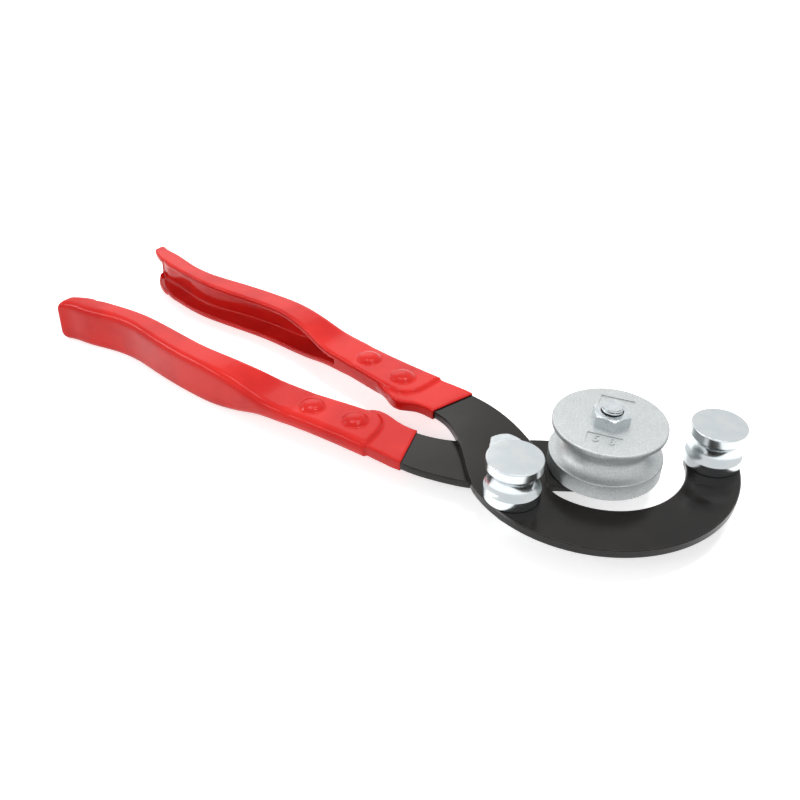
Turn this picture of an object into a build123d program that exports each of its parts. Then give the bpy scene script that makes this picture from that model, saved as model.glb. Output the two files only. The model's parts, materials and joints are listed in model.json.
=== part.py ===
from build123d import *
import math
import os

os.makedirs("parts", exist_ok=True)

# Plier type tube bender lying flat with its handles nearly closed.
# X runs along the line between the handles and points to the head.
# Y points to the side of the upper arm's handle and Z points up.
# Shapes are drawn from the pivot axis at the upper arm's top face.
# The finished tool is then moved so that its origin is its bottom centre.

# Arm plates
plate_thickness = 4.8
plate_bottom = -plate_thickness
arm_play = 0.1
lower_plate_top = plate_bottom - arm_play
lower_plate_bottom = lower_plate_top - plate_thickness
plate_edge_break = 0.5
overrun = 2.0

# Centres of the turning and clamped parts, from the pivot
sheave_x = 44.0
sheave_y = 28.6
near_roller_x = 20.0
near_roller_y = -27.0
far_roller_x = 90.6
far_roller_y = 60.4

# Hook of the upper arm
hook_outer_x = 40.6
hook_outer_y = 28.4
hook_tip_radius = 14.0
hook_inner_radius = math.hypot(far_roller_x - sheave_x, far_roller_y - sheave_y) - hook_tip_radius
hook_outer_radius = math.hypot(far_roller_x - hook_outer_x, far_roller_y - hook_outer_y) + hook_tip_radius
hook_outer_start_angle = -121.0
hook_inner_end_angle = -92.0

# Eye of the lower arm
eye_radius = 18.4

# Pivot bolt
pivot_shank_radius = 5.0
pivot_running_gap = 0.05
pivot_head_height = 6.4
pivot_head_flats = 17.0
pivot_washer_radius = 10.0
pivot_washer_thickness = 2.0
pivot_nut_height = 8.4
pivot_nut_flats = 16.0
pivot_bolt_end = 1.3

# Sheave
sheave_radius = 30.0
sheave_height = 28.9
sheave_lower_rim = 9.6
sheave_upper_rim = 25.9
sheave_groove_depth = 8.0
sheave_edge_round = 0.7
sheave_bore_radius = 6.15
mark_recess_length = 18.0
mark_recess_width = 8.2
mark_recess_depth = 0.5
mark_recess_centre = 17.6
mark_recess_angle = 15.0

# Sheave bolt and nut
sheave_bolt_radius = 6.0
sheave_bolt_head_flats = 18.0
sheave_bolt_head_height = 7.5
sheave_nut_height = 6.5
sheave_nut_flats = 18.2
sheave_nut_turn = 3.0
sheave_bolt_end = 3.2
sheave_thread_pitch = 1.5

# Rollers and the stems they turn on
roller_radius = 14.65
roller_height = 23.5
roller_lower_rim = 5.8
roller_upper_rim = 18.4
roller_groove_depth = 3.2
roller_edge_break = 0.7
roller_play = 0.1
stem_radius = 5.0
stem_running_gap = 0.05
stud_radius = 4.0
roller_washer_radius = 7.5
roller_washer_thickness = 1.6
roller_nut_height = 8.0
roller_nut_flats = 13.0
stud_end = 1.4
thread_pitch = 1.25

# Hexagon chamfers and screw fits
hex_chamfer_share = 0.95
tang_skin_round_share = 0.6
screw_gap = 0.2
thread_depth_share = 0.5

# Handle channel and its skin
skin = 1.1
sheet = 1.6
rivet_rear_x = -111.0
rivet_rear_y = 26.6
rivet_front_x = -83.4
rivet_front_y = 22.5
rivet_radius = 3.2
rivet_gap = 0.1
rivet_head_radius = 5.4
rivet_head_height = 2.3
dish_radius = 8.3
dish_floor_radius = 6.9
dish_depth = 0.6
dome_skin_radius = 6.4
dome_skin_height = 2.3
web_round = 4.6
lip_round = 1.7
hollow_round = 0.8
seat_bite = 0.6
seat_inner_points = [(-127.4, 20.0), (-121.0, 18.8), (-114.0, 17.6), (-106.0, 16.2), (-90.0, 13.6)]
seat_front_points = [(-73.6, 15.9), (-70.7, 22.1), (-68.6, 35.0)]
hollow_end_x = -130.0

# Stations along a handle: position, web, free edge and half height of the skin
handle_stations = [
    (-309.0, 50.2, 28.0, 13.6),
    (-290.0, 43.6, 27.4, 14.1),
    (-270.0, 39.2, 25.0, 14.2),
    (-250.0, 37.6, 22.9, 14.1),
    (-232.0, 39.8, 23.3, 13.8),
    (-212.0, 42.3, 24.9, 13.7),
    (-192.0, 43.5, 26.1, 13.8),
    (-176.0, 43.7, 25.2, 13.5),
    (-164.0, 43.4, 23.2, 12.0),
    (-152.0, 43.0, 20.4, 9.4),
    (-141.0, 42.8, 17.9, 6.6),
    (-130.0, 42.2, 16.4, 5.62),
    (-121.0, 41.5, 15.3, 5.24),
    (-114.0, 40.8, 14.4, 5.1),
]

# Front part of a handle, where the channel is squeezed flat onto the tang
front_stations = [
    (-114.0, 40.8, 14.4, 5.1),
    (-100.0, 39.6, 12.1, 5.1),
    (-84.0, 38.8, 9.8, 5.1),
    (-60.0, 38.2, 7.6, 5.1),
]

# Plan of a handle's pressed channel at its rounded ends
grip_end_curve = [(-308.0, 41.0), (-303.0, 35.0), (-295.0, 30.6), (-287.0, 26.0), (-281.0, 20.0)]
front_end_curve = [(-84.0, 0.0), (-82.0, 7.0), (-77.0, 9.9), (-71.5, 13.6), (-68.4, 20.0), (-64.4, 42.0)]
plan_over_y = 60.0
free_over_y = 15.0

# Tang of an arm inside and just ahead of its channel
tang_end_x = -128.4
tang_end_inner_y = 18.6
tang_web_gap = 0.45
tang_end_drop = 0.4
tang_inner_points = [(-106.0, 14.8), (-90.0, 12.2), (-81.0, 6.6)]
upper_heel_y = 4.4
lower_heel_y = 6.2
heel_x = -73.0
heel_front_x = -64.0
heel_front_y = 8.2
tang_front_x = -51.0
tang_front_inner_y = 8.2
tang_front_outer_y = 35.2
upper_hollow_side = [(-43.0, 6.2), (-34.0, 1.2), (-25.0, -6.4), (-9.0, -23.8)]
upper_crossing = [(22.3, 2.8), (5.1, 17.8), (-13.5, 27.8), (-32.0, 33.6)]
lower_near_side = [(-38.0, -35.2), (-22.0, -32.2), (-6.1, -27.0), (10.6, -16.9)]
lower_far_side = [(6.0, 26.9), (-14.0, 11.0), (-30.5, -1.4), (-41.0, -5.9)]
skin_front_inner_x = -52.4
skin_front_inner_y = 4.0
skin_front_outer_x = -41.6
skin_front_outer_y = 38.0


def hexagon(x, y, bottom, height, flats, turn, chamfer_low, chamfer_high):
    """Hexagon prism whose corners are bevelled below, above or on both ends."""
    corner = flats / math.sqrt(3)
    rim = flats / 2 * hex_chamfer_share
    drop = (corner - rim) * math.tan(math.radians(30))
    low = rim if chamfer_low else corner
    high = rim if chamfer_high else corner
    low_z = bottom + drop if chamfer_low else bottom
    high_z = bottom + height - drop if chamfer_high else bottom + height
    outline = [(0, bottom), (low, bottom), (corner, low_z), (corner, high_z), (high, bottom + height), (0, bottom + height)]
    points = [point for index, point in enumerate(outline) if index == 0 or point != outline[index - 1]]
    with BuildPart() as body:
        with BuildSketch(Plane.XY.offset(bottom)):
            RegularPolygon(corner, 6)
        extrude(amount=height)
    with BuildPart() as limit:
        with BuildSketch(Plane.XZ):
            Polygon(*points, align=None)
        revolve(axis=Axis.Z)
    solid = (body.part & limit.part).rotate(Axis.Z, turn)
    return solid.moved(Location((x, y, 0)))


def rod(x, y, bottom, top, radius):
    """Round bar standing on the given centre."""
    return Cylinder(radius, top - bottom, align=(Align.CENTER, Align.CENTER, Align.MIN)).moved(Location((x, y, bottom)))


def turned(x, y, points, arcs):
    """Solid turned about a vertical axis; an arc bulges through the point stored for its start."""
    with BuildPart() as body:
        with BuildSketch(Plane.XZ):
            with BuildLine():
                for index, start in enumerate(points):
                    end = points[(index + 1) % len(points)]
                    if start in arcs:
                        ThreePointArc(start, arcs[start], end)
                    else:
                        Line(start, end)
            make_face()
        revolve(axis=Axis.Z)
    return body.part.moved(Location((x, y, 0)))


def thread_rings(x, y, low, high, radius, pitch):
    """Ring grooves that stand for the screw thread on a bare bolt end."""
    depth = pitch * thread_depth_share
    rings = []
    count = int((high - low) / pitch)
    for index in range(count):
        middle = high - pitch * (index + 1) + pitch / 2
        points = [(radius - depth, middle), (radius + depth, middle + pitch / 2), (radius + depth, middle - pitch / 2)]
        rings.append(turned(x, y, points, {}))
    return rings


def mirror_y(points):
    """The same points on the other handle's side."""
    return [(x, -y) for x, y in points]


def tang_inner_edge(heel_y, grow):
    """Edge of a tang that faces the other handle, from its end to the front of the skin."""
    points = [(tang_end_x, tang_end_inner_y)]
    points += tang_inner_points
    points += [(heel_x, heel_y), (heel_front_x, heel_front_y), (tang_front_x, tang_front_inner_y)]
    return [(x, y - grow) for x, y in points]


def tang_outer_edge(grow):
    """Edge of a tang that lies along the channel's web, from the front to its end."""
    inside = skin + sheet + tang_web_gap
    squeezed = [station for station in handle_stations[:-1] if station[0] > hollow_end_x] + front_stations
    points = [(x, web_y - inside) for x, web_y, free_y, half in squeezed[::-1]]
    points = [(tang_front_x, tang_front_outer_y)] + points + [(tang_end_x, points[-1][1] + tang_end_drop)]
    return [(x, y + grow) for x, y in points]


def plate(edges, bottom):
    """Plate cut from an outline of joined lines, arcs and smooth curves, with its edges broken."""
    with BuildPart() as body:
        with BuildSketch(Plane.XY.offset(bottom)):
            with BuildLine():
                for kind, points, ends in edges:
                    if kind == "line":
                        Line(*points)
                    elif kind == "arc":
                        CenterArc(points[0], points[1], ends[0], ends[1] - ends[0])
                    else:
                        Spline(*points, tangents=ends)
            make_face()
        extrude(amount=plate_thickness)
        rims = body.faces().sort_by(Axis.Z)[-1].edges() + body.faces().sort_by(Axis.Z)[0].edges()
        chamfer(rims, plate_edge_break)
    return body.part


def heading(degrees):
    """Unit vector in the plane at an angle."""
    return on_circle(0, 0, 1, degrees)


def toward(start, end):
    """Vector in the plane from one point to another."""
    return (end[0] - start[0], end[1] - start[1])


def on_circle(x, y, radius, degrees):
    """Point on a circle."""
    angle = math.radians(degrees)
    return (x + radius * math.cos(angle), y + radius * math.sin(angle))


def direction(x, y, toward_x, toward_y):
    """Angle in degrees from one point to another."""
    return math.degrees(math.atan2(toward_y - y, toward_x - x))


def upper_arm():
    """Upper plate: handle tang, crossing, then the hook that carries both rollers."""
    inner = tang_inner_edge(upper_heel_y, 0)
    outer = tang_outer_edge(0)
    out_angle = direction(hook_outer_x, hook_outer_y, far_roller_x, far_roller_y)
    in_angle = direction(sheave_x, sheave_y, far_roller_x, far_roller_y)
    outer_start = on_circle(hook_outer_x, hook_outer_y, hook_outer_radius, hook_outer_start_angle)
    inner_end = on_circle(sheave_x, sheave_y, hook_inner_radius, hook_inner_end_angle)
    hollow_side = inner + upper_hollow_side + [outer_start]
    crossing = [inner_end] + upper_crossing + outer
    edges = [
        ("spline", hollow_side, (toward(inner[0], inner[1]), heading(hook_outer_start_angle + 90))),
        ("arc", ((hook_outer_x, hook_outer_y), hook_outer_radius), (hook_outer_start_angle, out_angle)),
        ("arc", ((far_roller_x, far_roller_y), hook_tip_radius), (out_angle, in_angle + 180)),
        ("arc", ((sheave_x, sheave_y), hook_inner_radius), (in_angle, hook_inner_end_angle)),
        ("spline", crossing, (heading(hook_inner_end_angle - 90), toward(outer[-2], outer[-1]))),
        ("line", [outer[-1], inner[0]], ()),
    ]
    body = plate(edges, plate_bottom)
    body -= rod(0, 0, plate_bottom - overrun, overrun, pivot_shank_radius + pivot_running_gap)
    for x, y in [(near_roller_x, near_roller_y), (far_roller_x, far_roller_y)]:
        body -= rod(x, y, plate_bottom - overrun, overrun, stem_radius + stem_running_gap)
    for x, y in [(rivet_rear_x, rivet_rear_y), (rivet_front_x, rivet_front_y)]:
        body -= rod(x, y, plate_bottom - overrun, overrun, rivet_radius + rivet_gap)
    return body


def lower_arm():
    """Lower plate: handle tang, crossing under the upper arm, then the eye under the sheave."""
    inner = mirror_y(tang_inner_edge(lower_heel_y, 0))
    outer = mirror_y(tang_outer_edge(0))
    along = direction(0, 0, sheave_x, sheave_y)
    near_eye = on_circle(sheave_x, sheave_y, eye_radius, along - 90)
    far_eye = on_circle(sheave_x, sheave_y, eye_radius, along + 90)
    near_side = outer[::-1] + lower_near_side + [near_eye]
    far_side = [far_eye] + lower_far_side + inner[::-1]
    edges = [
        ("spline", near_side, (toward(outer[-1], outer[-2]), heading(along))),
        ("arc", ((sheave_x, sheave_y), eye_radius), (along - 90, along + 90)),
        ("spline", far_side, (heading(along + 180), toward(inner[1], inner[0]))),
        ("line", [inner[0], outer[-1]], ()),
    ]
    body = plate(edges, lower_plate_bottom)
    low = lower_plate_bottom - overrun
    high = lower_plate_top + overrun
    body -= rod(0, 0, low, high, pivot_shank_radius + pivot_running_gap)
    body -= rod(sheave_x, sheave_y, low, high, sheave_bore_radius)
    for x, y in [(rivet_rear_x, -rivet_rear_y), (rivet_front_x, -rivet_front_y)]:
        body -= rod(x, y, low, high, rivet_radius + rivet_gap)
    return body


def section(x, low_y, high_y, half, low_round, high_round):
    """Upright rounded rectangle across a handle, one end rounder than the other."""
    corners = [(low_y, -half, low_round), (high_y, -half, high_round), (high_y, half, high_round), (low_y, half, low_round)]
    with BuildSketch(Plane.YZ.offset(x)) as face:
        with BuildLine():
            ends = []
            for index, (y, z, radius) in enumerate(corners):
                turn_y = 1 if y == low_y else -1
                turn_z = 1 if z < 0 else -1
                bend = radius * (1 - math.sqrt(0.5))
                upright = (y, z + turn_z * radius)
                level = (y + turn_y * radius, z)
                middle = (y + turn_y * bend, z + turn_z * bend)
                first, last = (upright, level) if index % 2 == 0 else (level, upright)
                ThreePointArc(first, middle, last)
                ends.append((first, last))
            for index in range(4):
                Line(ends[index][1], ends[(index + 1) % 4][0])
        make_face()
    return face.sketch


def handle_loft(stations, inset, low_over, low_round, high_round):
    """Smooth body through a handle's stations, set in from the skin by the given amount."""
    faces = []
    for x, web_y, free_y, half in stations:
        faces.append(section(x, free_y + inset - low_over, web_y - inset, half - inset, low_round, high_round))
    return loft(faces)


def end_block(curve, over_x):
    """Tall block beyond one curved end of a handle, for trimming that end."""
    with BuildPart() as block:
        with BuildSketch(Plane.XY.offset(-plan_over_y)):
            with BuildLine():
                Spline(*curve)
                Polyline(curve[-1], (over_x, curve[-1][1]), (over_x, curve[0][1]), curve[0])
            make_face()
        extrude(amount=2 * plan_over_y)
    return block.part


def behind_block(x):
    """Block that fills the space behind an upright plane."""
    block = Box(plan_over_y, 2 * plan_over_y, 2 * plan_over_y, align=(Align.MAX, Align.CENTER, Align.CENTER))
    return block.moved(Location((x, 0, 0)))


def envelope(inset, low_round, high_round):
    """Whole outer form of a handle, its grip end and its slanting front end cut."""
    rear = handle_loft(handle_stations, inset, 0, low_round, high_round)
    curve = [(x + inset, y + inset) for x, y in grip_end_curve]
    rear -= end_block(curve, curve[0][0] - plan_over_y)
    rear -= behind_block(curve[0][0])
    front = handle_loft(front_stations, inset, 0, low_round, high_round)
    curve = [(x - inset, y + inset) for x, y in front_end_curve]
    front -= end_block(curve, curve[-1][0] + plan_over_y)
    return rear + front


def skin_over_tang(heel_y):
    """Part of the skin that runs from the channel onto the plate, with a clean slanting end."""
    inner = tang_inner_edge(heel_y, skin)
    outer = tang_outer_edge(skin)
    half = plate_thickness / 2 + skin
    with BuildPart() as body:
        with BuildSketch(Plane.XY.offset(-half)):
            with BuildLine():
                far_x = tang_front_x + web_round * 3
                Spline(*inner, (far_x, inner[-1][1] - 2 * skin))
                ahead = (far_x, outer[0][1] - skin)
                Line((far_x, inner[-1][1] - 2 * skin), ahead)
                Spline(ahead, *outer)
                Line(outer[-1], inner[0])
            make_face()
        extrude(amount=2 * half)
        rims = body.faces().sort_by(Axis.Z)[-1].edges() + body.faces().sort_by(Axis.Z)[0].edges()
        fillet(rims.filter_by(GeomType.BSPLINE), skin * tang_skin_round_share)
    rear = (rivet_front_x, plan_over_y)
    with BuildPart() as block:
        with BuildSketch(Plane.XY.offset(-half - overrun)):
            Polygon(
                (skin_front_inner_x, skin_front_inner_y),
                (skin_front_inner_x - (skin_front_inner_y + overrun) * 0.3, -overrun),
                (rear[0], -overrun),
                rear,
                (skin_front_outer_x, rear[1]),
                (skin_front_outer_x, skin_front_outer_y),
                align=None,
            )
        extrude(amount=2 * half + 2 * overrun)
    return body.part & block.part


def dome_middle(radius, base, top):
    """Point halfway up a dome that is part of a ball centred on the turning axis."""
    rise = top - base
    ball = (radius * radius + rise * rise) / (2 * abs(rise))
    middle = radius / 2
    drop = ball - math.sqrt(ball * ball - middle * middle)
    return (middle, top - math.copysign(drop, rise))


def rivet(x, y):
    """Rivet with a domed head above and below the channel, about the handle's middle height."""
    seat = sheet + plate_thickness / 2
    top = seat + rivet_head_height
    points = [(0, -top), (rivet_head_radius, -seat), (rivet_radius, -seat), (rivet_radius, seat), (rivet_head_radius, seat), (0, top)]
    arcs = {
        (0, -top): dome_middle(rivet_head_radius, -seat, -top),
        (rivet_head_radius, seat): dome_middle(rivet_head_radius, seat, top),
    }
    return turned(x, y, points, arcs)


def dish(x, y, side):
    """Shallow round depression pressed about a rivet, on one side of the handle."""
    surface = side * (plate_thickness / 2 + sheet + skin)
    out = surface + side * overrun
    floor = surface - side * dish_depth
    points = [(0, floor), (dish_floor_radius, floor), (dish_radius, surface), (dish_radius, out), (0, out)]
    if side < 0:
        points = points[::-1]
    return turned(x, y, points, {})


def dome_skin(x, y, side):
    """Skin bulging over a rivet head."""
    surface = side * (plate_thickness / 2 + sheet + skin)
    base = surface - side * (skin - dish_depth / 2)
    top = surface - side * dish_depth / 2 + side * dome_skin_height
    middle = dome_middle(dome_skin_radius, base, top)
    if side < 0:
        return turned(x, y, [(0, top), (dome_skin_radius, base), (0, base)], {(0, top): middle})
    return turned(x, y, [(0, base), (dome_skin_radius, base), (0, top)], {(dome_skin_radius, base): middle})


def channel():
    """Pressed sheet channel: web outside, flanges squeezed onto the tang at the front."""
    inside = skin + sheet
    body = envelope(skin, lip_round / 2, web_round - skin)
    hollow = handle_loft(handle_stations, inside, free_over_y, hollow_round / 2, hollow_round)
    hollow += handle_loft(front_stations, inside, free_over_y, hollow_round / 2, hollow_round)
    body -= hollow
    for x, y in [(rivet_rear_x, rivet_rear_y), (rivet_front_x, rivet_front_y)]:
        body -= rod(x, y, -plan_over_y, plan_over_y, rivet_radius + rivet_gap)
    return body


def seat_block():
    """Space where flanges and web close onto the tang, sunk into the steel all round, which no skin enters."""
    web = [station for station in handle_stations[:-1] if station[0] > hollow_end_x] + front_stations[:-1]
    inside = skin + sheet - seat_bite
    points = [(x, web_y - inside) for x, web_y, free_y, half in web[::-1]]
    points = seat_inner_points + seat_front_points + [(seat_front_points[-1][0], points[0][1])] + points
    points.append((seat_inner_points[0][0], points[-1][1]))
    half = plate_thickness / 2 + seat_bite
    with BuildPart() as block:
        with BuildSketch(Plane.XY.offset(-half)):
            Polygon(*points, align=None)
        extrude(amount=2 * half)
    return block.part


def grip_shell(heel_y):
    """Dipped skin as one block, before the steel it covers is taken out of it."""
    body = envelope(0, lip_round, web_round)
    hollow_stations = [station for station in handle_stations if station[0] <= hollow_end_x]
    body -= handle_loft(hollow_stations, 2 * skin + sheet, free_over_y, skin, skin)
    body += skin_over_tang(heel_y)
    for x, y in [(rivet_rear_x, rivet_rear_y), (rivet_front_x, rivet_front_y)]:
        for side in (1, -1):
            body -= dish(x, y, side)
            body += dome_skin(x, y, side)
    return body


def solids_of(shape):
    """Every solid in a shape, the largest first."""
    return sorted(shape.solids(), key=lambda solid: -solid.volume)


def handle(heel_y, arm):
    """Channel, skin and rivets of one handle about its plate's middle height."""
    steel = channel()
    cover = grip_shell(heel_y)
    cover -= seat_block()
    cover -= steel
    cover -= arm
    steel -= arm
    seat = plate_thickness / 2 + sheet
    rivets = []
    for x, y in [(rivet_rear_x, rivet_rear_y), (rivet_front_x, rivet_front_y)]:
        cover -= rivet(x, y)
        cover -= rod(x, y, -seat, seat, rivet_radius + rivet_gap)
        rivets.append(rivet(x, y))
    return steel, cover, rivets


def roller(x, y):
    """Grooved roller turned in one piece with the stem that passes through the arm."""
    base = roller_play
    top = base + roller_height
    low = base + roller_lower_rim
    high = base + roller_upper_rim
    edge = roller_edge_break
    shoulder = plate_bottom - roller_play
    end = shoulder - roller_washer_thickness - roller_nut_height - stud_end
    points = [
        (0, end),
        (stud_radius - edge, end),
        (stud_radius, end + edge),
        (stud_radius, shoulder),
        (stem_radius, shoulder),
        (stem_radius, base),
        (roller_radius - edge / 2, base),
        (roller_radius, base + edge / 2),
        (roller_radius, low),
        (roller_radius, high),
        (roller_radius, top - edge),
        (roller_radius - edge, top),
        (0, top),
    ]
    arcs = {(roller_radius, low): (roller_radius - roller_groove_depth, (low + high) / 2)}
    body = turned(x, y, points, arcs)
    for ring in thread_rings(x, y, end + edge, end + stud_end + thread_pitch, stud_radius, thread_pitch):
        body -= ring
    return body


def roller_washer(x, y):
    """Washer against the shoulder of a roller's stem."""
    top = plate_bottom - roller_play
    bottom = top - roller_washer_thickness
    body = rod(x, y, bottom, top, roller_washer_radius)
    return body - rod(x, y, bottom - overrun, top + overrun, stud_radius + screw_gap)


def roller_nut(x, y):
    """Lock nut on the threaded end of a roller's stem."""
    top = plate_bottom - roller_play - roller_washer_thickness
    bottom = top - roller_nut_height
    body = hexagon(x, y, bottom, roller_nut_height, roller_nut_flats, 0, True, False)
    return body - rod(x, y, bottom - overrun, top + overrun, stud_radius)


def sheave():
    """Cast former with a half round groove, thin top flange and thick lower flange."""
    bottom = lower_plate_top
    low = bottom + sheave_lower_rim
    high = bottom + sheave_upper_rim
    top = bottom + sheave_height
    edge = sheave_edge_round
    points = [
        (sheave_bore_radius, bottom),
        (sheave_radius - edge, bottom),
        (sheave_radius, bottom + edge),
        (sheave_radius, low - edge / 2),
        (sheave_radius - edge / 2, low),
        (sheave_radius - edge / 2, high),
        (sheave_radius, high + edge / 2),
        (sheave_radius, top - edge),
        (sheave_radius - edge, top),
        (sheave_bore_radius, top),
    ]
    soft = edge * (1 - math.sqrt(0.5))
    arcs = {
        (sheave_radius - edge, bottom): (sheave_radius - soft, bottom + soft),
        (sheave_radius - edge / 2, low): (sheave_radius - sheave_groove_depth, (low + high) / 2),
        (sheave_radius, top - edge): (sheave_radius - soft, top - soft),
    }
    body = turned(sheave_x, sheave_y, points, arcs)
    for side in (1, -1):
        recess = Box(mark_recess_length, mark_recess_width, 2 * mark_recess_depth)
        place = Location((sheave_x, sheave_y, top), (0, 0, mark_recess_angle))
        body -= recess.moved(place * Location((0, side * mark_recess_centre, 0)))
    return body


def sheave_bolt():
    """Hex bolt from below that clamps the sheave to the lower arm."""
    face = lower_plate_top + sheave_height
    end = face + sheave_nut_height + sheave_bolt_end
    bevel = sheave_thread_pitch * thread_depth_share
    points = [
        (0, lower_plate_bottom),
        (sheave_bolt_radius, lower_plate_bottom),
        (sheave_bolt_radius, end - bevel),
        (sheave_bolt_radius - bevel, end),
        (0, end),
    ]
    body = turned(sheave_x, sheave_y, points, {})
    head_bottom = lower_plate_bottom - sheave_bolt_head_height
    body += hexagon(sheave_x, sheave_y, head_bottom, sheave_bolt_head_height, sheave_bolt_head_flats, 0, True, False)
    rings = thread_rings(sheave_x, sheave_y, face + sheave_nut_height, end - bevel, sheave_bolt_radius, sheave_thread_pitch)
    for ring in rings:
        body -= ring
    return body


def sheave_nut():
    """Thin hex nut on the sheave's face, bevelled above and below."""
    bottom = lower_plate_top + sheave_height
    body = hexagon(sheave_x, sheave_y, bottom, sheave_nut_height, sheave_nut_flats, sheave_nut_turn, False, True)
    return body - rod(sheave_x, sheave_y, bottom - overrun, bottom + sheave_nut_height + overrun, sheave_bolt_radius)


def pivot_bolt():
    """Hex bolt that the arms turn on, its head on the upper arm."""
    nut_bottom = lower_plate_bottom - arm_play - pivot_washer_thickness - pivot_nut_height
    end = nut_bottom - pivot_bolt_end
    bevel = thread_pitch * thread_depth_share
    points = [
        (0, end),
        (pivot_shank_radius - bevel, end),
        (pivot_shank_radius, end + bevel),
        (pivot_shank_radius, 0),
        (0, 0),
    ]
    body = turned(0, 0, points, {})
    body += hexagon(0, 0, 0, pivot_head_height, pivot_head_flats, -5, False, True)
    for ring in thread_rings(0, 0, end + bevel, nut_bottom, pivot_shank_radius, thread_pitch):
        body -= ring
    return body


def pivot_washer():
    """Washer under the lower arm."""
    top = lower_plate_bottom - arm_play
    bottom = top - pivot_washer_thickness
    body = rod(0, 0, bottom, top, pivot_washer_radius)
    return body - rod(0, 0, bottom - overrun, top + overrun, pivot_shank_radius + screw_gap)


def pivot_nut():
    """Lock nut of the pivot bolt."""
    top = lower_plate_bottom - arm_play - pivot_washer_thickness
    bottom = top - pivot_nut_height
    body = hexagon(0, 0, bottom, pivot_nut_height, pivot_nut_flats, 10, True, False)
    return body - rod(0, 0, bottom - overrun, top + overrun, pivot_shank_radius)


def build():
    """All pieces of the tool by name, moved so that the origin is the bottom centre."""
    upper_middle = Location((0, 0, plate_bottom / 2))
    lower_middle = Location((0, 0, (lower_plate_top + lower_plate_bottom) / 2))
    pieces = {"upper_arm": upper_arm(), "lower_arm": lower_arm()}
    upper_blank = pieces["upper_arm"].moved(upper_middle.inverse())
    lower_blank = pieces["lower_arm"].moved(lower_middle.inverse()).mirror(Plane.XZ)
    upper_steel, upper_cover, upper_rivets = handle(upper_heel_y, upper_blank)
    lower_steel, lower_cover, lower_rivets = handle(lower_heel_y, lower_blank)
    pieces["upper_channel"] = upper_steel.moved(upper_middle)
    pieces["upper_grip"] = upper_cover.moved(upper_middle)
    pieces["upper_rivet_rear"] = upper_rivets[0].moved(upper_middle)
    pieces["upper_rivet_front"] = upper_rivets[1].moved(upper_middle)
    pieces["lower_channel"] = lower_steel.mirror(Plane.XZ).moved(lower_middle)
    pieces["lower_grip"] = lower_cover.mirror(Plane.XZ).moved(lower_middle)
    pieces["lower_rivet_rear"] = lower_rivets[0].mirror(Plane.XZ).moved(lower_middle)
    pieces["lower_rivet_front"] = lower_rivets[1].mirror(Plane.XZ).moved(lower_middle)
    pieces["pivot_bolt"] = pivot_bolt()
    pieces["pivot_washer"] = pivot_washer()
    pieces["pivot_nut"] = pivot_nut()
    pieces["sheave"] = sheave()
    pieces["sheave_bolt"] = sheave_bolt()
    pieces["sheave_nut"] = sheave_nut()
    for name, x, y in [("near_roller", near_roller_x, near_roller_y), ("far_roller", far_roller_x, far_roller_y)]:
        pieces[name] = roller(x, y)
        pieces[name + "_washer"] = roller_washer(x, y)
        pieces[name + "_nut"] = roller_nut(x, y)
    return pieces


def origin_shift(pieces):
    """Move that brings the middle of the tool's underside to the origin."""
    box = Compound(children=[solid for piece in pieces.values() for solid in piece.solids()]).bounding_box()
    return (-(box.min.X + box.max.X) / 2, -(box.min.Y + box.max.Y) / 2, -box.min.Z)


def main():
    pieces = build()
    shift = Location(origin_shift(pieces))
    for name, piece in pieces.items():
        placed = [solid.moved(shift) for solid in solids_of(piece)]
        shape = placed[0] if len(placed) == 1 else Compound(children=placed)
        export_step(shape, "parts/" + name + ".step")
        print(name, len(placed), round(sum(solid.volume for solid in placed), 1))


if __name__ == "__main__":
    main()
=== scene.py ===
import json
import math

import bmesh
import bpy
from mathutils import Matrix, Vector


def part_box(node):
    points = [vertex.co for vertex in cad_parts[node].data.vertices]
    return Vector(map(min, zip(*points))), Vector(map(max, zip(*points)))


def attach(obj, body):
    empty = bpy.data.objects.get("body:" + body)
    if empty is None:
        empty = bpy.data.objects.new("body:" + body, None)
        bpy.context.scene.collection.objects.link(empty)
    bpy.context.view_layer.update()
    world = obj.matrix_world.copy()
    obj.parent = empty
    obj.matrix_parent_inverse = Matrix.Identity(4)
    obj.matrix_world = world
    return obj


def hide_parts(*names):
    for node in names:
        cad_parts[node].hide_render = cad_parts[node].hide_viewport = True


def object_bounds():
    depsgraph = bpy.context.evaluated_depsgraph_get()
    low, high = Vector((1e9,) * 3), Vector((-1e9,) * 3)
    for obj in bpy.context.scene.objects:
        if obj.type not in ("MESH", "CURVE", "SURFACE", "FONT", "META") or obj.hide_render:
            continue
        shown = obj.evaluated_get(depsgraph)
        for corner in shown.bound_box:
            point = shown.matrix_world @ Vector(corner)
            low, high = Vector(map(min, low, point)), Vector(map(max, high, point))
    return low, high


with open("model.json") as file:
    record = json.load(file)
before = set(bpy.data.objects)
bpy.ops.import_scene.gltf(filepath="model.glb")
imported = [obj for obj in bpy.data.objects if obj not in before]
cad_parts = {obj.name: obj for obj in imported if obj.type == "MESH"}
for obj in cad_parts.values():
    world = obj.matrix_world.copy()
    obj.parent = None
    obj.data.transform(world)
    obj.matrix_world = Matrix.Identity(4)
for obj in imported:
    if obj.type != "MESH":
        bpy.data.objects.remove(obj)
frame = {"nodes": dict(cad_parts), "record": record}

CAD_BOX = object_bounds()

bl_info = {
    "name": "Plier tube bender",
    "version": (1, 0, 0),
    "blender": (4, 5, 0),
    "location": "3D view, sidebar, Tube bender",
    "description": "Dresses the solids of a plier type tube bender and sets up its studio",
    "category": "Object",
}

MM = 0.001


def mm(value):
    """Length in metres."""
    return value * MM


# Places read from the frame


def middle_of(node):
    """Centre of a node's box."""
    low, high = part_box(node)
    return (low + high) / 2


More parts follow.
